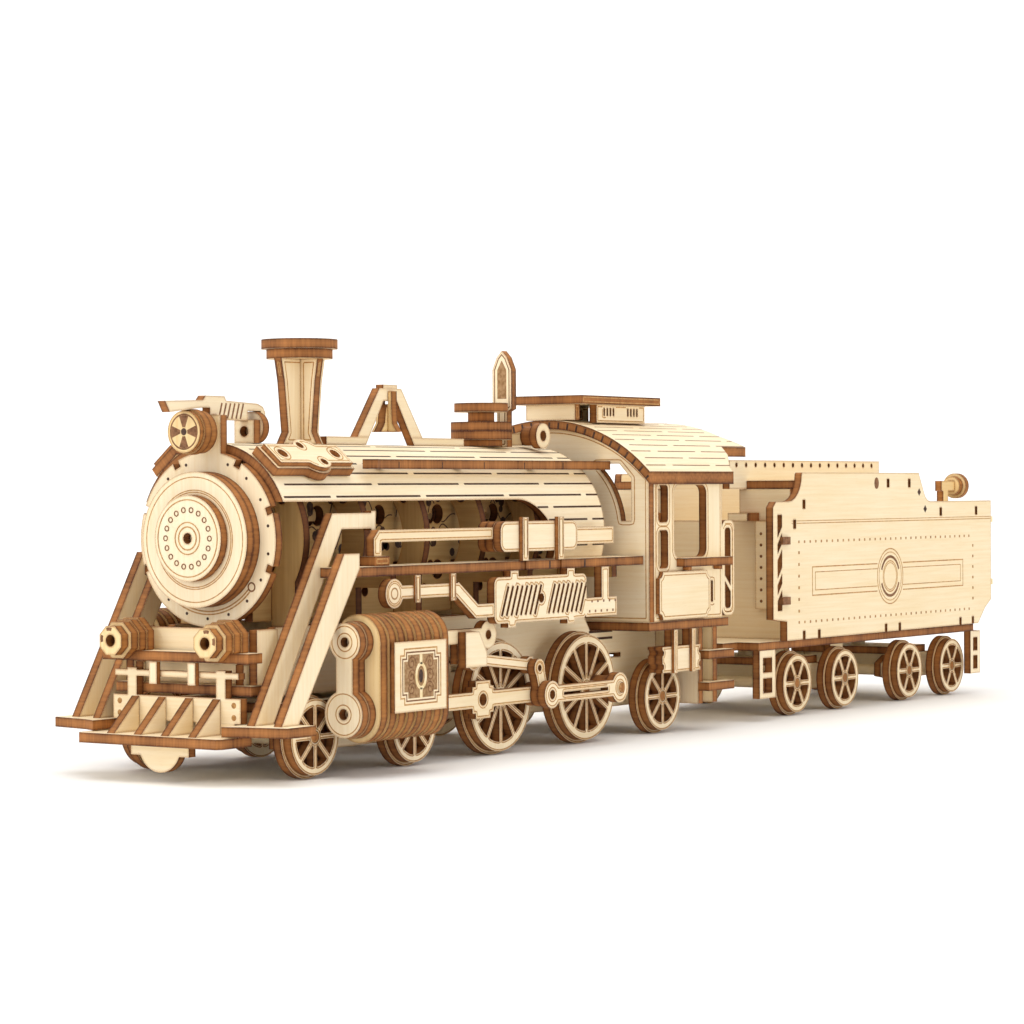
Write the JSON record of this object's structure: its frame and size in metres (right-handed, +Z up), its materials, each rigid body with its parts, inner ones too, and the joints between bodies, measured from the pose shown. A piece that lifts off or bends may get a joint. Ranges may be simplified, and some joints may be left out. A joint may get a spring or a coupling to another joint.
{
  "type": "plywood steam locomotive model",
  "caption": "Laser-cut plywood puzzle model of an old steam locomotive with its tender, with turning wheels, swivelling trucks, sliding crossheads and a swinging bell.",
  "frame": {"origin": "centre of the overall box, at the level of the rails that the wheels stand on", "axes": "+X from the front plate towards the tender, +Y to the far side, +Z up"},
  "size_m": [0.327, 0.0702, 0.0889],
  "materials": {
    "birch_ply": "matt bare plywood with laser-browned edges",
    "scorched_ply": "laser-browned plywood edges"
  },
  "bodies": {
    "engine": {"chassis_frames": "birch_ply", "chassis_stretchers": "birch_ply", "front_plate": "birch_ply", "front_wings": "birch_ply", "cowcatcher_ribs": "birch_ply", "front_cross_frame": "birch_ply", "lamp_beam": "birch_ply", "marker_lamps": "scorched_ply", "front_braces": "birch_ply", "smokebox_ring": "birch_ply", "smokebox_door": "birch_ply", "boiler_formers": "birch_ply", "boiler_skin": "birch_ply", "boiler_inner_plates": "birch_ply", "boiler_rails": "birch_ply", "boiler_plaques": "birch_ply", "stack_fins": "birch_ply", "stack_caps": "birch_ply", "headlamp": "scorched_ply", "headlamp_board": "birch_ply", "bell_frame": "birch_ply", "dome": "birch_ply", "whistle": "birch_ply", "safety_valves": "birch_ply", "running_boards": "birch_ply", "air_reservoirs": "birch_ply", "steam_pipes": "birch_ply", "grille_boxes": "birch_ply", "cylinder_blocks": "scorched_ply", "cylinder_covers": "birch_ply", "valve_rods": "birch_ply", "cab_floor": "birch_ply", "cab_front_wall": "birch_ply", "cab_sides": "birch_ply", "cab_roof": "birch_ply", "roof_vent": "birch_ply", "cab_rails": "birch_ply", "injector_boxes": "birch_ply", "cab_steps": "birch_ply"},
    "pilot_truck": {"pilot_truck": "birch_ply"},
    "pilot_axle_1": {"pilot_wheels_1": "birch_ply"},
    "pilot_axle_2": {"pilot_wheels_2": "birch_ply"},
    "driver_axle_1": {"driver_wheels_1": "birch_ply"},
    "driver_axle_2": {"driver_wheels_2": "birch_ply"},
    "trailing_axle": {"trailing_wheels": "birch_ply"},
    "crosshead": {"crossheads": "birch_ply", "valve_links": "birch_ply"},
    "radius_rod": {"radius_rods": "birch_ply"},
    "main_rod": {"main_rods": "birch_ply"},
    "bell": {"bell": "scorched_ply"},
    "tender": {"tender_frame": "birch_ply", "tender_sides": "birch_ply", "tender_body": "birch_ply", "tender_lamps": "scorched_ply"},
    "bogie_1": {"tender_bogie_1": "birch_ply"},
    "bogie_2": {"tender_bogie_2": "birch_ply"},
    "tender_axle_1": {"tender_wheels_1": "birch_ply"},
    "tender_axle_2": {"tender_wheels_2": "birch_ply"},
    "tender_axle_3": {"tender_wheels_3": "birch_ply"},
    "tender_axle_4": {"tender_wheels_4": "birch_ply"}
  },
  "joints": [
    {"name": "pilot_truck_swivel", "type": "hinge", "parent": "engine", "child": "pilot_truck", "pos_m": [-0.12185, 0, 0.014], "axis": [0, 0, 1], "range_deg": [-1, 1]},
    {"name": "pilot_spin_1", "type": "hinge", "parent": "pilot_truck", "child": "pilot_axle_1", "pos_m": [-0.1385, 0, 0.0084], "axis": [0, 1, 0], "continuous": true},
    {"name": "pilot_spin_2", "type": "hinge", "parent": "pilot_truck", "child": "pilot_axle_2", "pos_m": [-0.1052, 0, 0.0084], "axis": [0, 1, 0], "continuous": true},
    {"name": "driver_spin_1", "type": "hinge", "parent": "engine", "child": "driver_axle_1", "pos_m": [-0.0738, 0, 0.0126], "axis": [0, 1, 0], "continuous": true},
    {"name": "driver_spin_2", "type": "hinge", "parent": "engine", "child": "driver_axle_2", "pos_m": [-0.0398, 0, 0.0126], "axis": [0, 1, 0], "continuous": true},
    {"name": "trailing_spin", "type": "hinge", "parent": "engine", "child": "trailing_axle", "pos_m": [-0.0072, 0, 0.0087], "axis": [0, 1, 0], "continuous": true},
    {"name": "main_rod_swing", "type": "hinge", "parent": "driver_axle_2", "child": "main_rod", "pos_m": [-0.0363, 0, 0.0126], "axis": [0, 1, 0], "continuous": true},
    {"name": "crosshead_slide", "type": "slide", "parent": "engine", "child": "crosshead", "axis": [1, 0, 0], "range_m": [-0.007, 0]},
    {"name": "radius_rod_swing", "type": "hinge", "parent": "engine", "child": "radius_rod", "pos_m": [-0.0872, 0, 0.0214], "axis": [0, 1, 0], "range_deg": [-5, 5]},
    {"name": "bell_swing", "type": "hinge", "parent": "engine", "child": "bell", "pos_m": [-0.0845, 0, 0.0778], "axis": [0, 1, 0], "range_deg": [-15, 15]},
    {"name": "tender_drawbar", "type": "hinge", "parent": "engine", "child": "tender", "pos_m": [0.0175, 0, 0.016], "axis": [0, 0, 1], "range_deg": [-8, 8]},
    {"name": "bogie_swivel_1", "type": "hinge", "parent": "tender", "child": "bogie_1", "pos_m": [0.07005, 0, 0.013], "axis": [0, 0, 1], "range_deg": [-3.5, 3.5]},
    {"name": "bogie_swivel_2", "type": "hinge", "parent": "tender", "child": "bogie_2", "pos_m": [0.1319, 0, 0.013], "axis": [0, 0, 1], "range_deg": [-3.5, 3.5]},
    {"name": "tender_spin_1", "type": "hinge", "parent": "bogie_1", "child": "tender_axle_1", "pos_m": [0.0574, 0, 0.0081], "axis": [0, 1, 0], "continuous": true},
    {"name": "tender_spin_2", "type": "hinge", "parent": "bogie_1", "child": "tender_axle_2", "pos_m": [0.0827, 0, 0.0081], "axis": [0, 1, 0], "continuous": true},
    {"name": "tender_spin_3", "type": "hinge", "parent": "bogie_2", "child": "tender_axle_3", "pos_m": [0.1191, 0, 0.0081], "axis": [0, 1, 0], "continuous": true},
    {"name": "tender_spin_4", "type": "hinge", "parent": "bogie_2", "child": "tender_axle_4", "pos_m": [0.1447, 0, 0.0081], "axis": [0, 1, 0], "continuous": true}
  ],
  "couplings": [
    {"joint": "main_rod_swing", "follows": "driver_spin_2", "ratio": -1}
  ]
}
